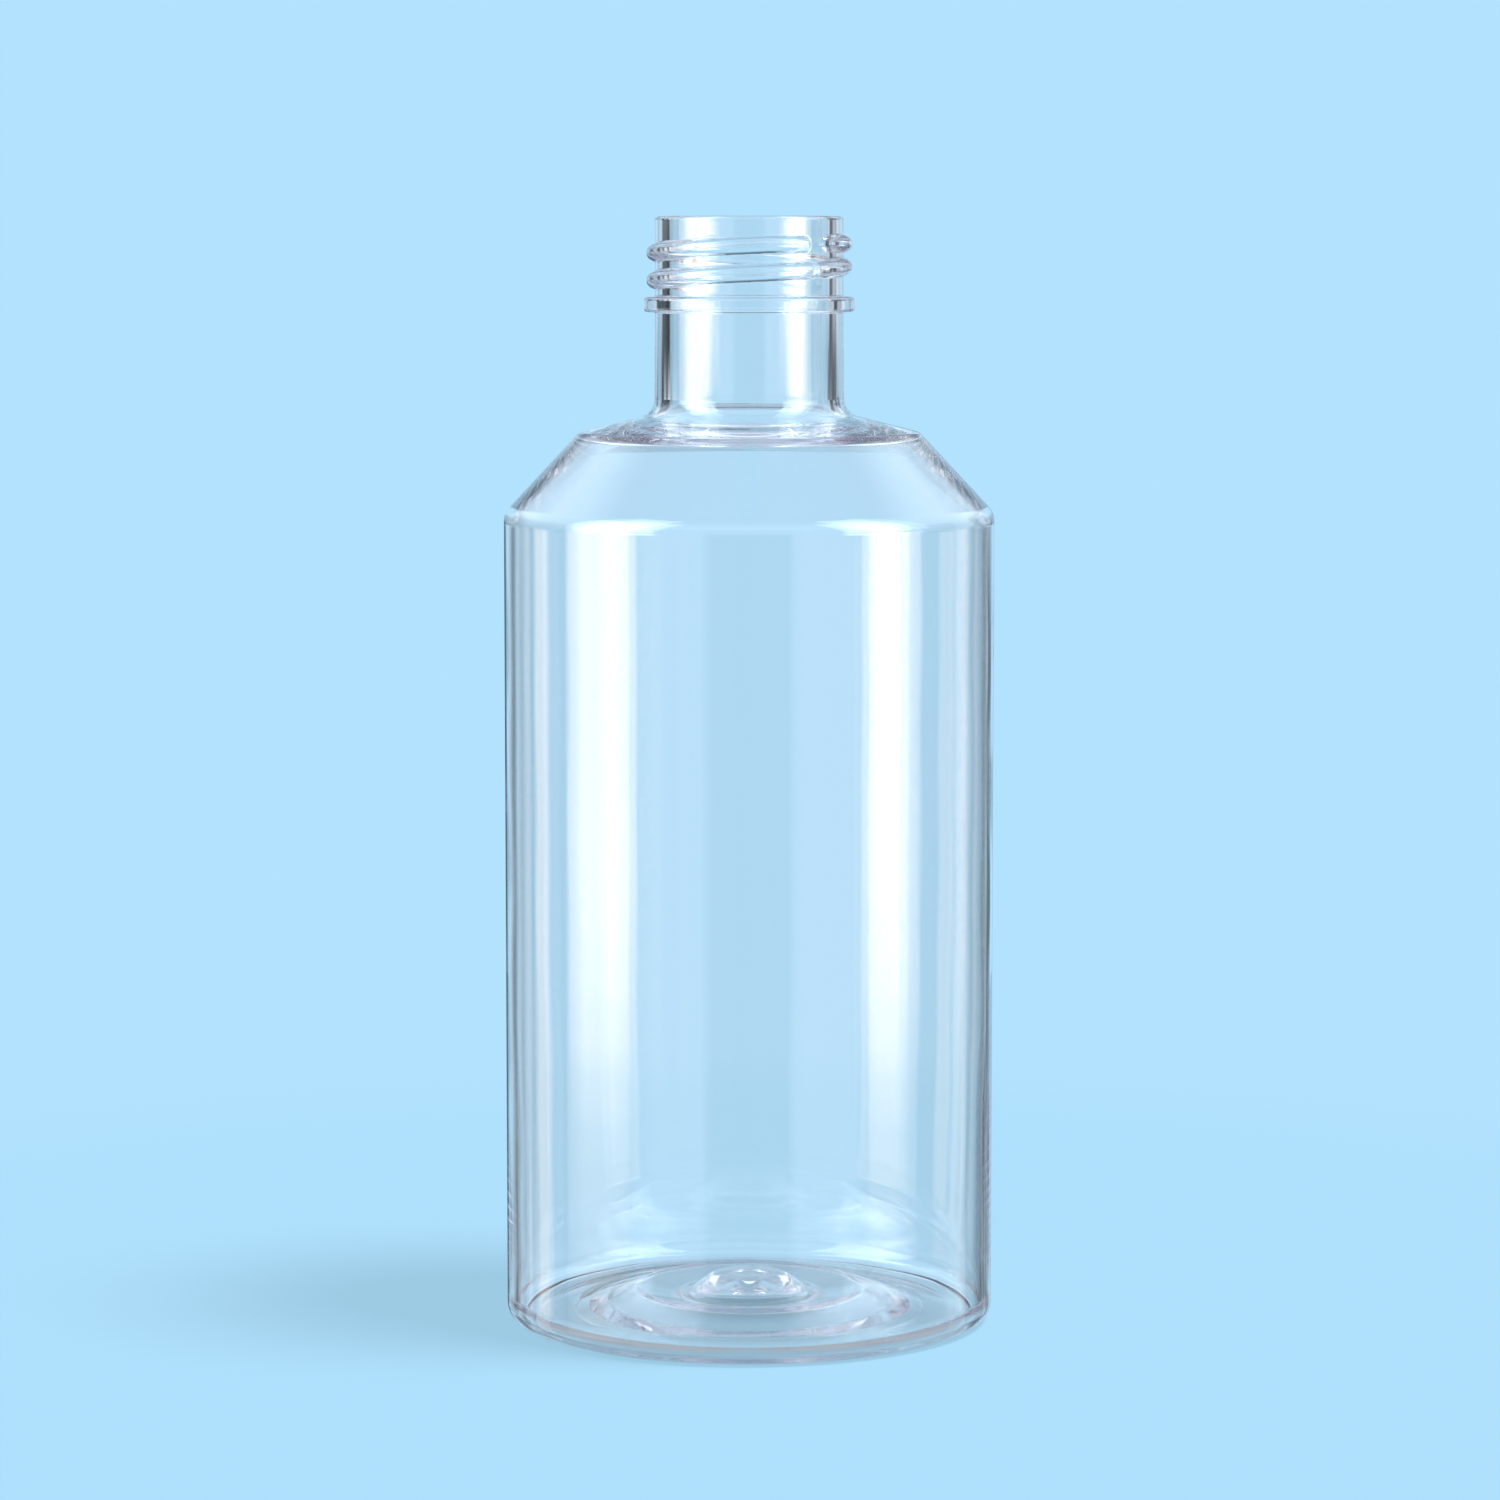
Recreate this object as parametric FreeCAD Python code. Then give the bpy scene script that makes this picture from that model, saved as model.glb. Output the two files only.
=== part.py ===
"""A clear plastic bottle, blown from one preform: one piece, so one solid.

The bottle stands on the plane z = 0 and turns about the Z axis. Its wall is one closed
outline in the XZ plane, swept round the axis. The outer line is the mould's: it runs from
the gate in the middle of the base, over the stepped push-up, round the heel, up the
straight body, over the bevelled shoulder and the shallow deck, and up the neck with its
carrying bead to the rim. The inner line comes back down, and follows the plastic, which
is thick in the neck, the deck, the heel and the base, and thin in the stretched body.
"""

import FreeCAD, Part
import math
import os

# ---- driving dimensions, millimetres ----------------------------------------------------

# whole bottle
overall_height = 129.1
body_diameter = 57.0

# neck finish, above the deck
finish_diameter = 21.9      # at the root of the cap's thread
finish_height = 9.25        # rim to the top of the carrying bead
rim_round = 0.45
bead_diameter = 24.4
bead_thickness = 1.75
bead_round = 0.35
neck_height = 11.7          # under the bead, down to the deck
neck_foot_diameter = 22.1   # the neck widens a little towards the deck

# deck and shoulder
deck_hollow = 2.20          # the round where the neck meets the deck
deck_fall = 2.20            # how much lower the deck is at its edge
deck_edge_round = 0.70
shoulder_run = 8.75         # how far the bevel goes out
shoulder_drop = 9.35        # and how far it goes down
shoulder_round = 2.2        # where the bevel meets the body

# heel and base, from the outside inwards
heel_round = 3.4
stand_width = 0.9           # the flat ring that the bottle stands on
sole_width = 3.6
sole_rise = 0.20
low_riser_width = 1.9
low_riser_height = 0.55
tread_width = 2.2
tread_rise = 0.15
high_riser_width = 3.4
high_riser_height = 1.40
shelf_fall = 1.00           # the shelf falls again towards the dome
dome_diameter = 15.2        # foot of the dome in the middle
dome_slope_width = 3.3
dome_slope_height = 1.60
dome_cap_rise = 0.30
gate_diameter = 3.8         # the stub that the preform was filled through
gate_length = 0.6
step_round = 0.90           # the steps of the push-up, softened by the blowing
dome_round = 0.60

# wall of the plastic
finish_wall = 1.70
neck_foot_wall = 1.85
deck_edge_wall = 1.35
shoulder_wall = 0.75
body_wall = 0.70
heel_wall = 1.15
thick_wall_height = 6.0     # the wall is at its thickest below this height
thin_wall_height = 34.0     # and at its thinnest above this one
sole_wall = 1.00
base_wall = 1.25
centre_wall = 2.10
inner_round = 1.5           # the inside follows the steps only loosely

# ---- places that follow from them -------------------------------------------------------

body_radius = body_diameter / 2
finish_radius = finish_diameter / 2
bead_radius = bead_diameter / 2
neck_foot_radius = neck_foot_diameter / 2
dome_radius = dome_diameter / 2
dome_cap_radius = dome_radius - dome_slope_width
gate_radius = gate_diameter / 2
bore_radius = finish_radius - finish_wall
rim_middle = finish_radius - finish_wall / 2

bead_top = overall_height - finish_height
bead_bottom = bead_top - bead_thickness
deck_top = bead_bottom - neck_height
deck_edge_radius = body_radius - shoulder_run
deck_edge_height = deck_top - deck_fall
shoulder_foot = deck_edge_height - shoulder_drop
stand_inner = body_radius - heel_round - stand_width


def push_up():
    """Corners (radius, height) of the push-up, from the standing ring's inner edge inwards.

    Each band of the base takes its width off the radius and adds its rise to the height.
    """
    bands = [
        (sole_width, sole_rise),
        (low_riser_width, low_riser_height),
        (tread_width, tread_rise),
        (high_riser_width, high_riser_height),
    ]
    corners = [(stand_inner, 0)]
    for width, rise in bands:
        radius, height = corners[-1]
        corners.append((radius - width, height + rise))
    return corners


steps = push_up()
shelf_height = steps[-1][1]
moat_height = shelf_height - shelf_fall
dome_shoulder = moat_height + dome_slope_height
dome_top = dome_shoulder + dome_cap_rise


# ---- the outline ------------------------------------------------------------------------

def rounded_line(corners):
    """Edges of a line through corners (radius, height, fillet), with an arc for each fillet.

    A fillet takes a length off both sides of its corner, and is limited to a little under
    half of the shorter side, so that it never reaches the next corner's.
    """
    points = [FreeCAD.Vector(r, 0, z) for r, z, fillet in corners]
    edges = []
    start = points[0]
    for before, corner, after, (r, z, fillet) in zip(points, points[1:], points[2:], corners[1:]):
        if fillet == 0:
            edges.append(Part.LineSegment(start, corner).toShape())
            start = corner
            continue
        back = before - corner
        ahead = after - corner
        half_turn = (math.pi - back.getAngle(ahead)) / 2
        cut = min(fillet * math.tan(half_turn), 0.48 * back.Length, 0.48 * ahead.Length)
        radius = cut / math.tan(half_turn)
        arc_start = corner + back.normalize() * cut
        arc_end = corner + ahead.normalize() * cut
        # the middle of the arc lies between the corner and the arc's centre
        inwards = (back + ahead).normalize()
        arc_middle = corner + inwards * (radius / math.cos(half_turn) - radius)
        edges.append(Part.LineSegment(start, arc_start).toShape())
        edges.append(Part.Arc(arc_start, arc_middle, arc_end).toShape())
        start = arc_end
    edges.append(Part.LineSegment(start, points[-1]).toShape())
    return edges


def base_outside():
    """The outer line's corners from the gate to the standing ring."""
    dome = [
        (0, dome_top - gate_length, 0),
        (gate_radius, dome_top - gate_length, 0),
        (gate_radius, dome_top, 0),
        (dome_cap_radius, dome_shoulder, dome_round),
        (dome_radius, moat_height, dome_round),
    ]
    return dome + [(r, z, step_round) for r, z in reversed(steps)]


def body_outside():
    """The outer line's corners from the heel to the foot of the neck."""
    return [
        (body_radius, 0, heel_round),
        (body_radius, shoulder_foot, shoulder_round),
        (deck_edge_radius, deck_edge_height, deck_edge_round),
        (neck_foot_radius, deck_top, deck_hollow),
    ]


def finish_outside():
    """The outer line's corners over the bead to the middle of the rim."""
    return [
        (finish_radius, bead_bottom, 0),
        (bead_radius, bead_bottom, bead_round),
        (bead_radius, bead_top, bead_round),
        (finish_radius, bead_top, 0),
        (finish_radius, overall_height, rim_round),
        (rim_middle, overall_height, 0),
    ]


def neck_inside():
    """The inner line's corners from the rim to the body's thin wall."""
    foot_wall_round = deck_hollow + neck_foot_wall
    return [
        (rim_middle, overall_height, 0),
        (bore_radius, overall_height, 0),
        (neck_foot_radius - neck_foot_wall, deck_top - neck_foot_wall, foot_wall_round),
        (deck_edge_radius - deck_edge_wall / 2, deck_edge_height - deck_edge_wall, 0),
        (body_radius - shoulder_wall, shoulder_foot - shoulder_wall / 2, 0),
        (body_radius - body_wall, shoulder_foot - 3 * shoulder_round, 0),
    ]


def base_inside():
    """The inner line's corners from the body's thin wall to the axis."""
    heel_inside = body_radius - heel_wall
    sole_inside = steps[1][0]
    shelf_inside = steps[-1][0]
    return [
        (body_radius - body_wall, thin_wall_height, 0),
        (heel_inside, thick_wall_height, 0),
        (heel_inside, sole_wall, heel_round),
        (sole_inside, sole_rise + sole_wall, heel_round),
        (shelf_inside, shelf_height + base_wall, inner_round),
        (dome_radius, moat_height + base_wall, inner_round),
        (dome_cap_radius, dome_shoulder + centre_wall, inner_round),
        (0, dome_top + centre_wall, 0),
    ]


# ---- the solid --------------------------------------------------------------------------

def make_bottle():
    """The wall's outline, closed along the axis and swept once round it."""
    outside = rounded_line(base_outside() + body_outside() + finish_outside())
    inside = rounded_line(neck_inside() + base_inside())
    gate_point = FreeCAD.Vector(0, 0, dome_top - gate_length)
    dome_point = FreeCAD.Vector(0, 0, dome_top + centre_wall)
    axis_edge = Part.LineSegment(dome_point, gate_point).toShape()
    wall = Part.Face(Part.Wire(outside + inside + [axis_edge]))
    return wall.revolve(FreeCAD.Vector(0, 0, 0), FreeCAD.Vector(0, 0, 1), 360)


os.makedirs("parts", exist_ok=True)
bottle = make_bottle()
bottle.exportStep("parts/bottle.step")
print(f"bottle: {bottle.Volume / 1000:.2f} cm3 of plastic, {bottle.BoundBox.ZMax:.2f} mm high")
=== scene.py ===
import bpy
import math
import numpy as np
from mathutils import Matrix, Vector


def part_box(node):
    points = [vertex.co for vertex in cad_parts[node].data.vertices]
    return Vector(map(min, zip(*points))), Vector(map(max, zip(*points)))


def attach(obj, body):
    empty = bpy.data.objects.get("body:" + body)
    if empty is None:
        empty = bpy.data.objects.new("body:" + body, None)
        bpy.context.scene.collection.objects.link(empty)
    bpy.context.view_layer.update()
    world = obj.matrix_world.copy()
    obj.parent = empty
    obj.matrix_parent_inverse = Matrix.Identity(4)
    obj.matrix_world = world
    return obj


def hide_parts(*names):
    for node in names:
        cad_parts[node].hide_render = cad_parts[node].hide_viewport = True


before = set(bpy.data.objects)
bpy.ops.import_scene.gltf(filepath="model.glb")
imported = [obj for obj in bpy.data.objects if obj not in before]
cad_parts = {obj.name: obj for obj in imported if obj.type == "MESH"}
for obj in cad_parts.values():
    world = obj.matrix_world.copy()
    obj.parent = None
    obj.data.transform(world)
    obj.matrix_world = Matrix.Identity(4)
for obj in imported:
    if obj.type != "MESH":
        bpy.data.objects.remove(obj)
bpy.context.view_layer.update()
low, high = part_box("bottle")
mm = 0.001
bottleTall = round(high.z / mm, 1)
bottleRadius = round((high.x - low.x) / 2 / mm, 1)
print("frame loaded: the bottle is", bottleTall, "mm high and", 2 * bottleRadius, "mm across")


# the camera

lookout = {
    "back": 0.5753,     # metres in front of the bottle's axis
    "up": 0.1243,
    "aside": 0.0001,
    "down": 5.68,       # degrees below level
    "lens": 118.7,
    "near": 0.01,       # metres, what is nearer or farther isn't seen
    "far": 50,
}


def makeCamera(want):
    lens = bpy.data.cameras.new("lookout")
    lens.lens = want["lens"]
    lens.clip_start = want["near"]
    lens.clip_end = want["far"]
    camera = bpy.data.objects.new("lookout", lens)
    camera.location = (want["aside"], -want["back"], want["up"])
    camera.rotation_euler = (math.radians(90 - want["down"]), 0, 0)
    bpy.context.scene.collection.objects.link(camera)
    bpy.context.scene.camera = camera


makeCamera(lookout)
print("camera placed")


# shader arithmetic

class Wire:
    # a socket that adds its own Math nodes when sums are written with it

    def __init__(self, tree, socket=None):
        self.tree = tree
        self.socket = socket

    def node(self, kind, settings=None, inputs=None, output=0):
        # settings go first, because they change which sockets a node has
        made = self.tree.nodes.new("ShaderNode" + kind)
        for name, value in (settings or {}).items():
            setattr(made, name, value)
        for name, value in (inputs or {}).items():
            if isinstance(value, Wire):
                self.tree.links.new(value.socket, made.inputs[name])
            else:
                made.inputs[name].default_value = value
        return Wire(self.tree, made.outputs[output])

    def outputs(self, *names):
        # further outputs of the node that this one comes from
        return [Wire(self.tree, self.socket.node.outputs[name]) for name in names]

    def math(self, operation, first, second=0.0):
        return self.node("Math", {"operation": operation}, {0: first, 1: second})

    def __add__(self, other):
        return self.math("ADD", self, other)

    __radd__ = __add__

    def __sub__(self, other):
        return self.math("SUBTRACT", self, other)

    def __rsub__(self, other):
        return self.math("SUBTRACT", other, self)

    def __mul__(self, other):
        return self.math("MULTIPLY", self, other)

    __rmul__ = __mul__

    def __gt__(self, other):
        return self.math("GREATER_THAN", self, other)

    def rise(self, start, end):
        # 0 below start, 1 above end, and a smooth step between them
        limits = {"Value": self, "From Min": start, "From Max": end}
        return self.node("MapRange", {"interpolation_type": "SMOOTHSTEP"}, limits)

    def tint(self, share, below, above):
        # the colour below, turning into the colour above as share goes from 0 to 1
        return self.node("Mix", {"data_type": "RGBA"}, {0: share, 6: below, 7: above}, output=2)


def freshTree(owner):
    owner.use_nodes = True
    owner.node_tree.nodes.clear()
    return Wire(owner.node_tree)


def finishTree(tree, kind, shader, volume=None):
    end = tree.tree.nodes.new("ShaderNodeOutput" + kind)
    tree.tree.links.new(shader.socket, end.inputs["Surface"])
    if volume:
        tree.tree.links.new(volume.socket, end.inputs["Volume"])


# the pale room

room = {
    "wall": (0.451, 0.761, 0.991, 1),
    "floor": (0.427, 0.743, 0.974, 1),
    "floorRadii": (0.13, 1.0, 8.0),     # metres, of the rings that the floor is made of
    "floorSides": 96,
    "sweep": (0.13, 0.19),  # metres from the bottle where the floor's colour turns into the wall's
    "paintedShadeUnderBottle": 0.32,    # painted shade: how much darker the floor's glow is painted under the bottle
    "paintedShadeEdge": 0.7,       # where that starts to fade, as a share of the bottle's radius
    "paintedShadeUnderMiddle": 0.24,    # and how much more painted shade there is under its middle
    "middle": (0.2, 0.42),  # where that fades, the same way
    "sunShare": 0.205,      # of the floor's light, the part that the bottle can shade
    "sunAcross": 21,        # degrees
    "sunHigh": 67,
    "sunRound": 74,         # degrees from the camera's side towards the right
    "ceiling": 0.88,        # how much darker than the wall the ceiling looks through the plastic
    "ceilingFrom": (30, 46),    # degrees above eye level
}

# what the plastic mirrors round it where nothing stands. Places are degrees above eye level.
mirroredRoom = {
    "dark": 0.06,
    "overhead": 1.55,       # brighter from just above eye level on
    "overheadFrom": (8, 22),
    "zenith": 0.80,         # and less so straight overhead
    "zenithFrom": (42, 58),
    "table": 0.45,
    "tableFrom": (-30, -16),
    "behind": 0.9,          # how much of the pale wall shows straight behind the bottle
    "behindFrom": (150, 160),   # degrees round from the camera
    "behindHigh": 0.5,      # how much dimmer it is there above, between these two
    "behindHighFrom": (9, 15),
    "behindHighTo": (60, 75),
    "behindLow": 0.35,      # and below
    "cool": (0.82, 0.95, 1.10, 1),  # dim light is cool, bright light warm, but only low down
    "warm": (1, 0.80, 0.62, 1),
    "warmStrength": (0.5, 1.7),
    "warmTo": (1, 9),
    "calmTurns": (1.5, 3.5),    # light that has been mirrored more often than this in the plastic
    "calmMost": 1.6,        # is never brighter than this
}

# what stands round the bottle, as the plastic mirrors it: from and to in degrees round from the
# camera, minus to the left, and how soft those edges are, from and to in degrees above eye level
# and how soft, and how bright it is
standing = {
    "leftSoftboxRim": (-95, -58, 2, -10.8, 45, 8.5, 1.9),
    "leftSoftbox": (-90, -58, 12, -10.8, 45, 8.5, 1.9),
    "leftSoftboxCore": (-86, -66, 6, -10.8, 45, 8.5, 1.1),
    "leftSoftboxTop": (-81, -47, 3, -1.8, 60, 1, 2.0),
    "leftSoftboxHood": (-92, -46, 3, 3, 60, 2, 2.0),
    "rightSoftbox": (58, 75, 2, -10.8, 45, 8.5, 2.7),
    "rightSoftboxRim": (75, 80, 2, -10.8, 45, 8.5, 1.0),
    "rightSoftboxTop": (47, 81, 3, -1.8, 60, 1, 2.3),
    "rightSoftboxHood": (47, 92, 3, 3, 60, 2, 2.0),
    "leftStrip": (-121, -109, 3, -40, -2.5, 1, 1.2),
    "leftFarStrip": (-132, -125, 3, -40, -2.5, 1, 0.7),
    "leftEndStrip": (-143, -137, 3, -40, -2.5, 1, 0.6),
    "rightStrip": (109, 119, 3, -40, -2.5, 1, 0.45),
    "rightFarStrip": (119, 124, 2, -40, -2.5, 1, 0.8),
    "behindCamera": (-21, 21, 4, -60, 15, 10, 0.36),
    "leftScreen": (-57, -21, 4, -60, 15, 10, 0.74),
    "rightScreen": (21, 50, 6, -60, 15, 10, 0.85),
    "rightScreenEdge": (50, 57, 3, -60, 15, 10, 0.50),
    "leftRear": (-108, -88, 4, -60, -2.5, 1, 0.20),
    "rightRear": (76, 108, 4, -60, -2.5, 1, 0.30),
    "leftShade": (-137, -108, 4, -60, -2.5, 1, 0.18),
    "rightShade": (108, 136, 4, -60, -2.5, 1, 0.20),
    "leftGlow": (-180, -150, 6, -30, 15, 1, 0.45),
    "leftUpperGlow": (-180, -148, 4, -2, 15, 1, 0.40),
    "rightGlow": (150, 180, 6, -30, 15, 1, 0.60),
    "rightUpperGlow": (138, 180, 4, -2, 15, 1, 0.40),
    "leftFinishShade": (-150, -108, 4, 0, 15, 1, 0.10),
    "rightUpperStrip": (112, 130, 3, -2, 15, 1, 0.60),
}

# what stands dark behind the bottle and draws its outline: the same measures, then the share of
# the light that each takes away
shades = {
    "leftEdge": (-181, -164, 2, -16, -2.5, 2, 0.80),
    "rightEdge": (172, 181, 2, -16, 4, 2, 0.40),
    "rightLine": (152, 161, 3, -16, -3, 2, 0.75),
}


def paintRoom(want, mirrored):
    world = bpy.data.worlds.new("room")
    bpy.context.scene.world = world
    tree = freshTree(world)
    way = tree.node("SeparateXYZ", inputs={0: tree.node("TexCoord", output="Generated")})
    across, along, up = way.outputs(0, 1, 2)
    turn = tree.math("ARCTAN2", across, 0 - along) * math.degrees(1)
    slope = tree.math("ARCSINE", up) * math.degrees(1)

    def between(place, start, end, soft):
        entry = place.rise(start - soft / 2, start + soft / 2)
        return entry * (1 - place.rise(end - soft / 2, end + soft / 2))

    def within(start, end, soft, foot, top, blur):
        return between(turn, start, end, soft) * between(slope, foot, top, blur)

    light = mirrored["dark"]
    for *place, strength in standing.values():
        light = within(*place) * strength + light
    keep = 1.0
    for *place, share in shades.values():
        keep = (1 - within(*place) * share) * keep
    light = light + slope.rise(*mirrored["overheadFrom"]) * mirrored["overhead"]
    light = light - slope.rise(*mirrored["zenithFrom"]) * mirrored["zenith"]
    below = 1 - slope.rise(*mirrored["tableFrom"])
    light = light * (1 - below) + below * mirrored["table"]
    warmth = light.rise(*mirrored["warmStrength"]) * (1 - slope.rise(*mirrored["warmTo"]))
    colour = tree.tint(warmth, mirrored["cool"], mirrored["warm"])
    # light that has gone round in the plastic several times comes out softened
    path = tree.node("LightPath")
    seen, turned, scattered = path.outputs("Is Camera Ray", "Glossy Depth", "Diffuse Depth")
    calm = turned.rise(*mirrored["calmTurns"])
    light = light * (1 - calm) + tree.math("MINIMUM", light, mirrored["calmMost"]) * calm
    near = tree.node("Emission", inputs={"Color": colour, "Strength": light * keep})
    # straight behind, the pale wall shows, dimmer where the base mirrors it from above or below
    above = slope.rise(*mirrored["behindHighFrom"]) * (1 - slope.rise(*mirrored["behindHighTo"]))
    dimmer = 1 - mirrored["behindHigh"] * above - mirrored["behindLow"] * below
    far = tree.node("Emission", inputs={"Color": want["wall"], "Strength": dimmer * keep})
    behind = tree.math("ABSOLUTE", turn).rise(*mirrored["behindFrom"]) * mirrored["behind"]
    reflection = tree.node("MixShader", inputs={0: behind, 1: near, 2: far})
    # what the plastic bends steeply upwards meets the dark ceiling instead of the wall
    ceiling = slope.rise(*want["ceilingFrom"]) * (1 - seen) * want["ceiling"]
    wall = tree.node("Emission", inputs={"Color": want["wall"], "Strength": 1 - ceiling})
    shown = tree.node("MixShader", inputs={0: turned > 0.5, 1: wall, 2: reflection})
    # the floor has its own light, so it takes none from here
    black = tree.node("Emission", inputs={"Color": (0, 0, 0, 1)})
    shown = tree.node("MixShader", inputs={0: scattered > 0.5, 1: shown, 2: black})
    finishTree(tree, "World", shown)
    world.cycles.sampling_method = "NONE"


def makeFloor(want):
    # a disc of rings: cos and sin of even angles times each radius
    sides = want["floorSides"]
    turns = np.linspace(0, 2 * math.pi, sides, endpoint=False)
    ring = np.stack([np.cos(turns), np.sin(turns), 0 * turns], axis=-1)
    radii = np.array(want["floorRadii"])
    points = (radii[:, None, None] * ring).reshape(-1, 3)
    here = np.arange(sides)
    ahead = (here + 1) % sides
    faces = [here.tolist()]
    for inner in sides * np.arange(len(radii) - 1):
        outer = inner + sides
        quads = np.stack([here + inner, here + outer, ahead + outer, ahead + inner], axis=-1)
        faces += quads.tolist()
    mesh = bpy.data.meshes.new("floor")
    mesh.from_pydata(points.tolist(), [], faces)
    floor = bpy.data.objects.new("floor", mesh)
    bpy.context.scene.collection.objects.link(floor)
    material = bpy.data.materials.new("paleFloor")
    tree = freshTree(material)
    away = tree.node("VectorMath", {"operation": "LENGTH"},
                     {0: tree.node("TexCoord", output="Object")}, output="Value")
    colour = tree.tint(away.rise(*want["sweep"]), want["floor"], want["wall"])
    radius = high.x
    middleStart, middleEnd = want["middle"]
    # painted shade: the floor's glow is darkened by distance from the axis under the bottle, and
    # more under its middle
    reach = 1 - want["paintedShadeUnderBottle"] * (1 - away.rise(want["paintedShadeEdge"] * radius, radius))
    reach = reach - want["paintedShadeUnderMiddle"] * (1 - away.rise(middleStart * radius, middleEnd * radius))
    seen, mirrored = tree.node("LightPath").outputs("Is Camera Ray", "Glossy Depth")
    # only what the camera sees directly takes a shadow, the rest of the light comes from all round
    shade = seen * want["sunShare"]
    glow = tree.node("Emission", inputs={"Color": colour, "Strength": (1 - shade) * reach})
    matt = tree.node("BsdfDiffuse", inputs={"Color": tree.tint(shade, (0, 0, 0, 1), colour)})
    surface = tree.node("AddShader", inputs={0: glow, 1: matt})
    clear = tree.node("BsdfTransparent")
    shown = tree.node("MixShader", inputs={0: mirrored > 0.5, 1: surface, 2: clear})
    finishTree(tree, "Material", shown)
    mesh.materials.append(material)


def makeSun(want):
    lamp = bpy.data.lights.new("sky", "SUN")
    lamp.angle = math.radians(want["sunAcross"])
    # at this strength a white floor would be plain white
    lamp.energy = math.pi / math.sin(math.radians(want["sunHigh"]))
    lamp.cycles.use_multiple_importance_sampling = False
    sun = bpy.data.objects.new("sky", lamp)
    sun.rotation_euler = (math.radians(90 - want["sunHigh"]), 0, math.radians(want["sunRound"]))
    sun.visible_glossy = False
    sun.visible_transmission = False
    bpy.context.scene.collection.objects.link(sun)


paintRoom(room, mirroredRoom)
makeFloor(room)
makeSun(room)
view = bpy.context.scene.view_settings
view.view_transform = "Standard"
# light goes round many times inside the thick plastic of the neck and the base before it comes out
paths = bpy.context.scene.cycles
paths.max_bounces = 128
paths.glossy_bounces = 96
paths.transmission_bounces = 64
print("room lit")


# the bottle's wall, one closed outline turned round the axis, in millimetres

wall = {
    # neck finish
    "finishRadius": 10.95, "finishTall": 9.25, "finishWall": 1.70,
    "rimRound": 0.45, "rimInnerRound": 0.35,
    "beadRadius": 12.2, "beadThick": 1.75, "beadRound": 0.40, "beadFootRound": 0.15,
    "neckTall": 11.7, "neckFootRadius": 11.05, "neckFootWall": 1.85,
    # deck and bevel
    "deckHollow": 2.20, "deckFall": 2.20,
    "deckEdgeRound": 0.70, "deckEdgeWall": 1.35, "deckEdgeInnerRound": 1.2,
    "bevelRun": 8.75, "bevelDrop": 9.35, "bevelRound": 2.2, "bevelInnerRound": 2.0,
    # body and heel. The wall grows from thinAbove down to thickBelow.
    "bodyWall": 0.70, "thinAbove": 34.0, "thinRound": 900, "thickBelow": 6.0, "thickRound": 200,
    "heelRound": 3.4, "heelWall": 1.15, "standWide": 0.9,
    # base: the widths and rises of the push-up's bands, from the outside inwards
    "bands": ((3.6, 0.20), (1.9, 0.55), (2.2, 0.15), (3.4, 1.40)), "stepRound": 0.9,
    "soleWall": 1.00, "soleInnerRound": 3.0,
    "baseWall": 1.25, "shelfInnerRound": 1.5, "shelfFall": 1.00,
    "domeRadius": 7.6, "domeSlope": (3.3, 1.60), "domeRise": 0.30,
    "domeRound": 0.6, "domeInnerRound": 3.5, "centreWall": 2.10,
    "gateRadius": 1.9, "gateLong": 0.6, "gateRound": 0.15, "gateFootRound": 0.2,
    # mesh: points round the bottle, how far apart its rows are, degrees of an arc between two
    # points, and how far from an arc the run's next point is
    "around": 248, "outsideStep": 8.0, "insideStep": 2.4, "finishStep": 0.085,
    "arcStep": 11, "ease": 0.12,
    "arcShare": 0.46,       # the most of a run that an arc at its end may take
    "finishClear": (0.3, 0.6),  # how far from the bead and the rim the finish has its own rows
}

# degrees are round from the camera's side, towards the right
thread = {
    "pitch": 3.175, "tall": 0.95, "foot": 1.00, "flat": 2.6, "edge": 0.75,
    "thinnest": 0.35,       # how wide the foot still is where the ridge has faded
    "leftHeight": 121.76,   # of the lower strand, seen at the bottle's left edge
    "start": -133, "end": 400, "runOut": 5, "levelFrom": 372,
    "tipStart": 412, "tipFull": 440, "tipFade": 456, "tipEnd": 478, "tipHeight": 125.96,
    "vents": (45, 225), "ventWide": 7, "ventDeep": 0.35,
}

# blown plastic runs a little uneven inside. Each wave has its number of lobes round the bottle, its
# millimetres of height, or in the base of radius, for a radian, and where it starts
uneven = {
    "waves": ((5, 9.0, 0.4), (9, -5.5, 2.1), (14, 3.7, 4.0)),
    "waveTall": 0.004, "lowWaveTall": 0.003,    # each, and how much more low down
    "lowWaves": (26, 6),    # heights between which the waves get taller
    "wavesTop": (96, 84), "wavesFoot": (7, 15),     # and where they fade
    "swirls": ((2, 1.9, 0.9), (3, -1.3, 3.0), (5, 2.6, 5.1)),
    "swirlTall": 0.03, "swirlsBelow": 6,
    "swirlsInner": (7, 12), "swirlsOuter": (26, 22),    # radii between which the swirls fade
}


def ramp(x, start, end):
    return np.clip((x - start) / (end - start), 0, 1)


def smoothStep(x, start, end):
    # t squared, times three less twice t, for t that goes evenly from 0 to 1
    t = ramp(x, start, end)
    return t * t * (3 - 2 * t)


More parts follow.
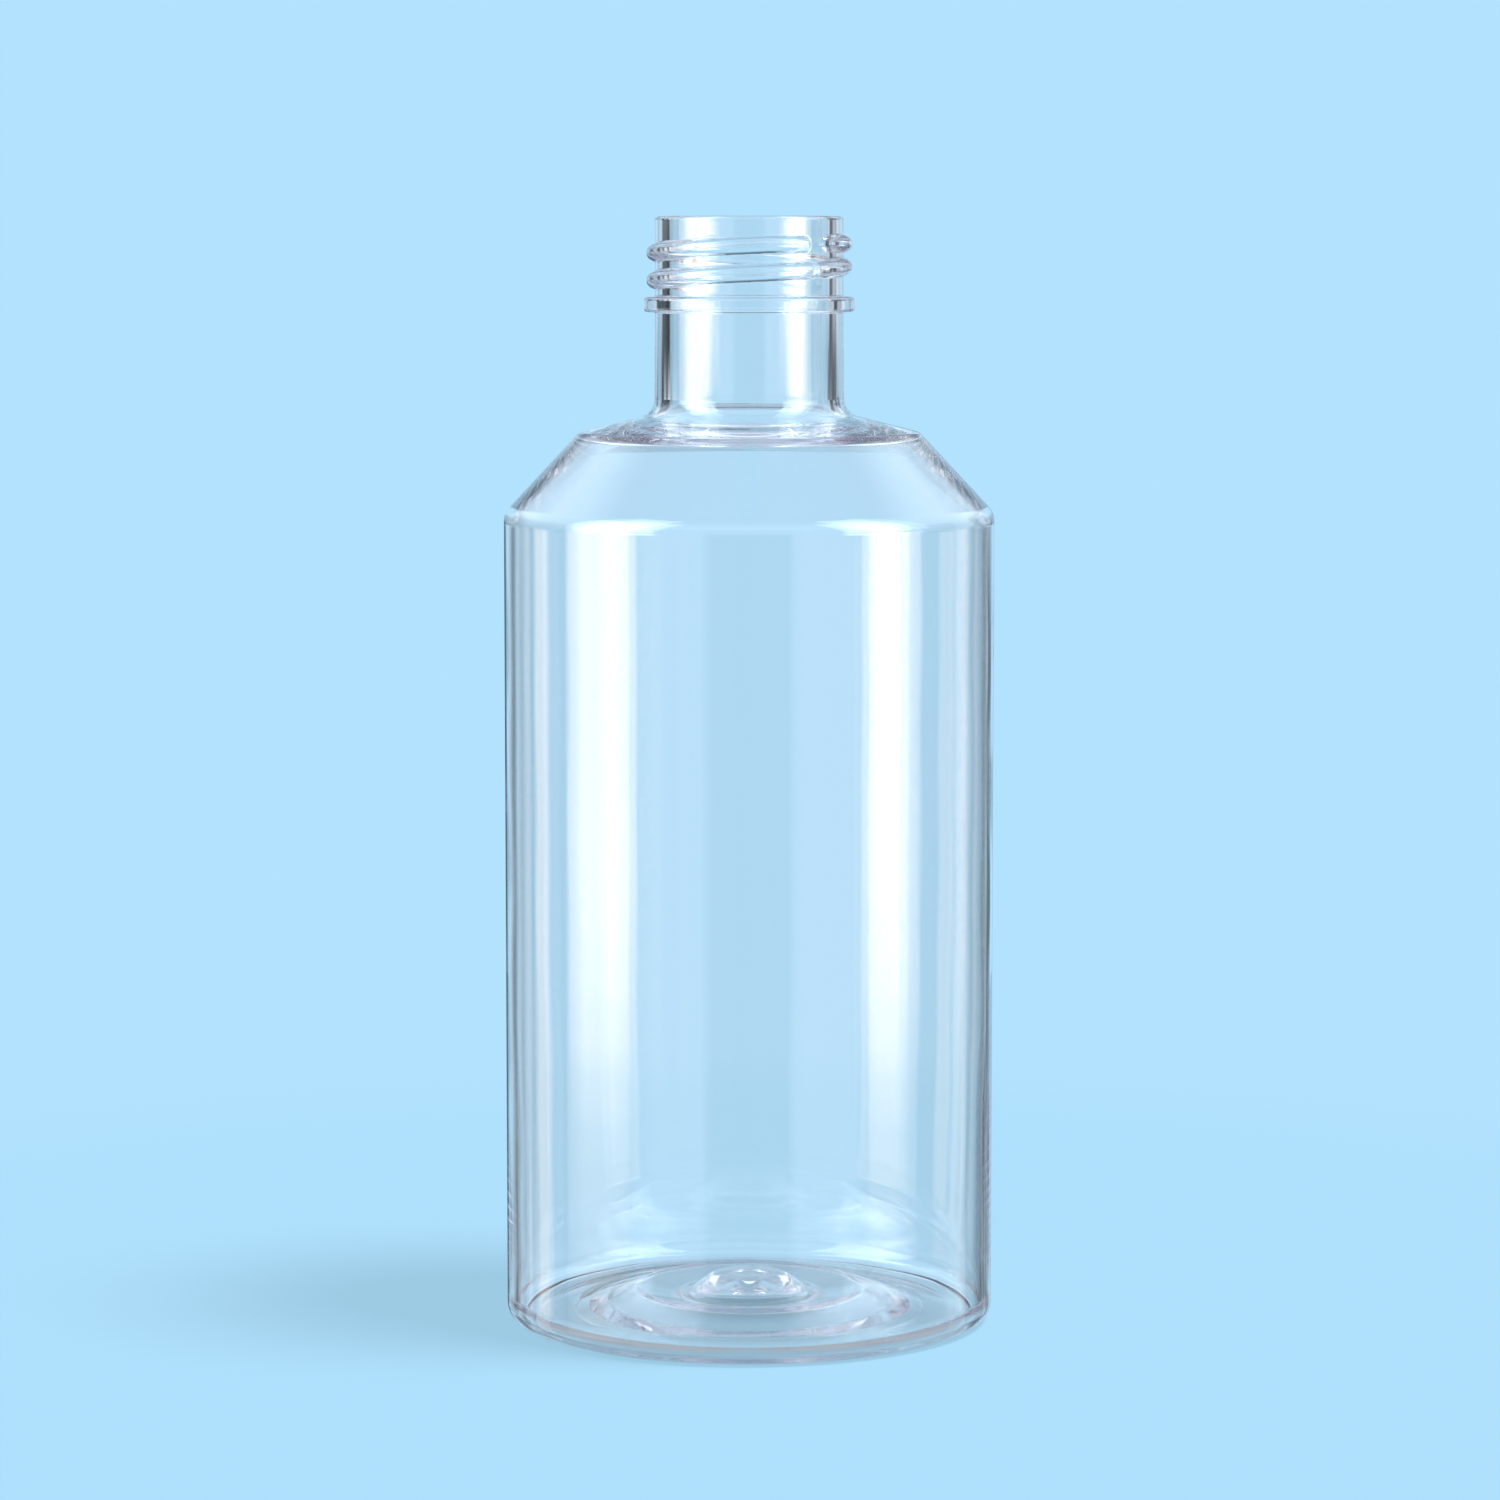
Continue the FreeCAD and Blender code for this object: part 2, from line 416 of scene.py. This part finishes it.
def roundedLine(corners, step, want):
    # corners are (radius, height, fillet). An arc starts fillet * tan(half the turn) before its
    # corner, and its points are its centre plus the first spoke, turned by even angles. Straight
    # runs have points no further apart than step, and one close to each arc, so that smooth
    # shading stays on the arc.
    line = [np.array([corners[0][:2]], float)]
    for before, corner, after in zip(corners, corners[1:], corners[2:]):
        here = np.array(corner[:2], float)
        back = np.array(before[:2]) - here
        ahead = np.array(after[:2]) - here
        backLong, aheadLong = np.hypot(*back), np.hypot(*ahead)
        back, ahead = back / backLong, ahead / aheadLong
        turn = math.pi - math.acos(np.clip(back @ ahead, -1, 1))
        if turn < 0.002 or corner[2] == 0:
            line.append(here[None])
            continue
        longest = want["arcShare"] * min(backLong, aheadLong)
        cut = min(corner[2] * math.tan(turn / 2), longest)
        radius = cut / math.tan(turn / 2)
        middle = back + ahead
        centre = here + middle / np.hypot(*middle) * radius / math.cos(turn / 2)
        spoke = here + back * cut - centre
        way = np.sign(back[1] * ahead[0] - back[0] * ahead[1])
        count = max(3, round(math.degrees(turn) / want["arcStep"]) + 1)
        angles = way * np.linspace(0, turn, count)
        turned = np.stack([spoke[0] * np.cos(angles) - spoke[1] * np.sin(angles),
                           spoke[0] * np.sin(angles) + spoke[1] * np.cos(angles)], axis=-1)
        ease = min(want["ease"], 0.3 * cut)
        line.append(here + back * (cut + ease))
        line.append(centre + turned)
        line.append(here + ahead * (cut + ease))
    line.append(np.array([corners[-1][:2]], float))
    points = np.vstack([np.atleast_2d(part) for part in line])
    # long runs are divided
    runs = np.hypot(*np.diff(points, axis=0).T)
    parts = np.maximum(1, np.ceil(runs / step)).astype(int)
    shares = np.concatenate([np.arange(n) / n for n in parts])
    first = np.repeat(np.arange(len(parts)), parts)
    divided = points[first] + shares[:, None] * (points[first + 1] - points[first])
    return np.vstack([divided, points[-1:]])


def wallLine(want):
    # the outline from the gate, round the outside to the rim, and back down the inside to the axis
    top = bottleTall
    beadTop = top - want["finishTall"]
    beadFoot = beadTop - want["beadThick"]
    deckTop = beadFoot - want["neckTall"]
    deckEdge = bottleRadius - want["bevelRun"]
    deckFoot = deckTop - want["deckFall"]
    bevelFoot = deckFoot - want["bevelDrop"]
    steps = [(bottleRadius - want["heelRound"] - want["standWide"], 0)]
    for wide, rise in want["bands"]:
        steps.append((steps[-1][0] - wide, steps[-1][1] + rise))
    shelf = steps[-1][1]
    moat = shelf - want["shelfFall"]
    dome = want["domeRadius"]
    capRadius = dome - want["domeSlope"][0]
    capFoot = moat + want["domeSlope"][1]
    domeTop = capFoot + want["domeRise"]
    gate = want["gateRadius"]
    gateFoot = domeTop - want["gateLong"]
    baseOutside = [
        (0, gateFoot, 0),
        (gate, gateFoot, want["gateRound"]),
        (gate, domeTop, want["gateFootRound"]),
        (capRadius, capFoot, want["domeRound"]),
        (dome, moat, want["domeRound"]),
    ] + [(r, z, want["stepRound"]) for r, z in reversed(steps)]
    bodyOutside = [
        (bottleRadius, 0, want["heelRound"]),
        (bottleRadius, bevelFoot, want["bevelRound"]),
        (deckEdge, deckFoot, want["deckEdgeRound"]),
        (want["neckFootRadius"], deckTop, want["deckHollow"]),
    ]
    rimMiddle = want["finishRadius"] - want["finishWall"] / 2
    neckOutside = [
        (want["finishRadius"], beadFoot, want["beadFootRound"]),
        (want["beadRadius"], beadFoot, want["beadRound"]),
        (want["beadRadius"], beadTop, want["beadRound"]),
        (want["finishRadius"], beadTop, want["beadFootRound"]),
        (want["finishRadius"], top, want["rimRound"]),
        (rimMiddle, top, 0),
    ]
    neckFootInside = (want["neckFootRadius"] - want["neckFootWall"], deckTop - want["neckFootWall"])
    neckInside = [
        (rimMiddle, top, 0),
        (want["finishRadius"] - want["finishWall"], top, want["rimInnerRound"]),
        (*neckFootInside, want["deckHollow"] + want["neckFootWall"]),
    ]
    bodyWall = want["bodyWall"]
    deckEdgeWall = want["deckEdgeWall"]
    heelInside = bottleRadius - want["heelWall"]
    bodyInside = [
        (deckEdge - deckEdgeWall / 2, deckFoot - deckEdgeWall, want["deckEdgeInnerRound"]),
        (bottleRadius - bodyWall, bevelFoot - bodyWall / 2, want["bevelInnerRound"]),
        (bottleRadius - bodyWall, want["thinAbove"], want["thinRound"]),
        (heelInside, want["thickBelow"], want["thickRound"]),
        (heelInside, want["soleWall"], want["heelRound"]),
    ]
    baseInside = [
        (steps[1][0], steps[1][1] + want["soleWall"], want["soleInnerRound"]),
        (steps[-1][0], shelf + want["baseWall"], want["shelfInnerRound"]),
        (dome, moat + want["baseWall"], want["domeInnerRound"]),
        (capRadius, capFoot + want["centreWall"], want["domeInnerRound"]),
        (0, domeTop + want["centreWall"], 0),
    ]
    outside = roundedLine(baseOutside + bodyOutside + neckOutside, want["outsideStep"], want)
    # the finish takes even rows, close enough for the thread
    beadClear, rimClear = want["finishClear"]
    firstRow = np.argmax(outside[:, 1] > beadTop + beadClear)
    lastRow = np.argmax(outside[:, 1] > top - rimClear)
    heights = np.arange(outside[firstRow - 1, 1], outside[lastRow, 1], want["finishStep"])[1:]
    rows = np.stack([np.full_like(heights, want["finishRadius"]), heights], axis=-1)
    outside = np.vstack([outside[:firstRow], rows, outside[lastRow:]])
    inside = roundedLine(neckInside + bodyInside + baseInside, want["insideStep"], want)
    return outside, inside[1:]


def threadRidge(heights, turns, want):
    # a rounded ridge: its height is the crest's times (1 - (distance / half width) ^ flat) ^ edge.
    # Its middle climbs by the pitch in a turn, and it fades where the strand starts, ends and
    # crosses a vent.
    ridge = np.zeros((len(heights), len(turns)))
    for lap in range(-1, 3):
        far = turns + 360 * lap
        # the strand passes the left edge, a quarter turn back, at its own height
        climb = want["leftHeight"] + (np.minimum(far, want["levelFrom"]) + 90) / 360 * want["pitch"]
        full = smoothStep(far, want["start"], want["start"] + want["runOut"])
        full = full * (1 - smoothStep(far, want["end"] - want["runOut"], want["end"]))
        for vent in want["vents"]:
            dip = 1 - smoothStep(np.abs(far - vent), 0, want["ventWide"])
            full = full * (1 - want["ventDeep"] * dip)
        tip = smoothStep(far, want["tipStart"], want["tipFull"])
        tip = tip * (1 - smoothStep(far, want["tipFade"], want["tipEnd"]))
        for size, middle in ((full, climb), (tip, np.full_like(far, want["tipHeight"]))):
            halfWide = want["foot"] * (want["thinnest"] + (1 - want["thinnest"]) * size)
            away = np.abs(heights[:, None] - middle[None]) / halfWide[None]
            section = np.maximum(1 - away ** want["flat"], 0) ** want["edge"]
            ridge = np.maximum(ridge, want["tall"] * size[None] * section)
    return ridge


def sines(waves, spread, place):
    # the sum of sin(lobes * angle + place / long + start)
    return sum(np.sin(lobes * spread[None] + place / long + start) for lobes, long, start in waves)


def makeBottle(want, rough):
    outside, inside = wallLine(want)
    count = want["around"]
    # degrees round from the camera's side, which is -Y, towards +X
    turns = np.linspace(0, 360, count, endpoint=False)
    spread = np.radians(turns)
    across, along = np.sin(spread), -np.cos(spread)
    outerRadius = outside[:, :1] + threadRidge(outside[:, 1], (turns + 180) % 360 - 180, thread)
    # the inner face of the body waves, more towards the heel, and that of the neck doesn't
    height = inside[:, 1:]
    reach = ramp(height, *rough["wavesTop"]) * ramp(height, *rough["wavesFoot"])
    tall = rough["waveTall"] + rough["lowWaveTall"] * ramp(height, *rough["lowWaves"])
    innerRadius = inside[:, :1] + reach * tall * sines(rough["waves"], spread, height)
    # and the inside of the base lies in slow swirls
    reach = (height < rough["swirlsBelow"]) * ramp(innerRadius, *rough["swirlsInner"])
    reach = reach * ramp(innerRadius, *rough["swirlsOuter"])
    swirls = rough["swirlTall"] * reach * sines(rough["swirls"], spread, innerRadius)
    radii = np.vstack([outerRadius, innerRadius])
    heights = np.vstack([np.repeat(outside[:, 1:], count, axis=1), height + swirls])
    points = np.stack([radii * across, radii * along, heights], axis=-1)
    # the first and last rows are single points on the axis
    rows = points[1:-1].reshape(-1, 3)
    poles = points[[0, -1], 0]
    vertices = np.vstack([rows, poles]) * mm
    row, j = np.meshgrid(np.arange(len(points) - 3), np.arange(count), indexing="ij")
    here, ahead = row * count + j, row * count + (j + 1) % count
    quads = np.stack([here, ahead, ahead + count, here + count], axis=-1).reshape(-1, 4)
    j = np.arange(count)
    nextJ = (j + 1) % count
    gatePole, domePole = len(rows), len(rows) + 1
    lastRow = len(rows) - count
    gateFan = np.stack([np.full(count, gatePole), nextJ, j], axis=-1)
    domeFan = np.stack([np.full(count, domePole), lastRow + j, lastRow + nextJ], axis=-1)
    mesh = bpy.data.meshes.new("bottleWall")
    mesh.from_pydata(vertices.tolist(), [], quads.tolist() + gateFan.tolist() + domeFan.tolist())
    mesh.shade_smooth()
    bottle = bpy.data.objects.new("bottleWall", mesh)
    bpy.context.scene.collection.objects.link(bottle)
    print("bottle turned:", len(points), "rows,", 2 * len(quads) + 2 * count, "triangles")
    return bottle


plastic = {
    "colour": (1, 1, 1, 1),
    "ior": 1.57,
    "dim": (0.90, 0.89, 0.92, 1),   # what the wall takes off, with depth
    "dimming": 65.0,
}


def makePlastic(want):
    material = bpy.data.materials.new("clearPlastic")
    tree = freshTree(material)
    shader = tree.node("BsdfPrincipled", inputs={
        "Base Color": want["colour"],
        "Transmission Weight": 1.0,
        "Roughness": 0.0,
        "IOR": want["ior"],
    })
    depth = tree.node("VolumeAbsorption", inputs={"Color": want["dim"], "Density": want["dimming"]})
    finishTree(tree, "Material", shader, depth)
    return material


bottle = makeBottle(wall, uneven)
bottle.data.materials.append(makePlastic(plastic))
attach(bottle, "root")
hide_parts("bottle")
print("bottle finished")
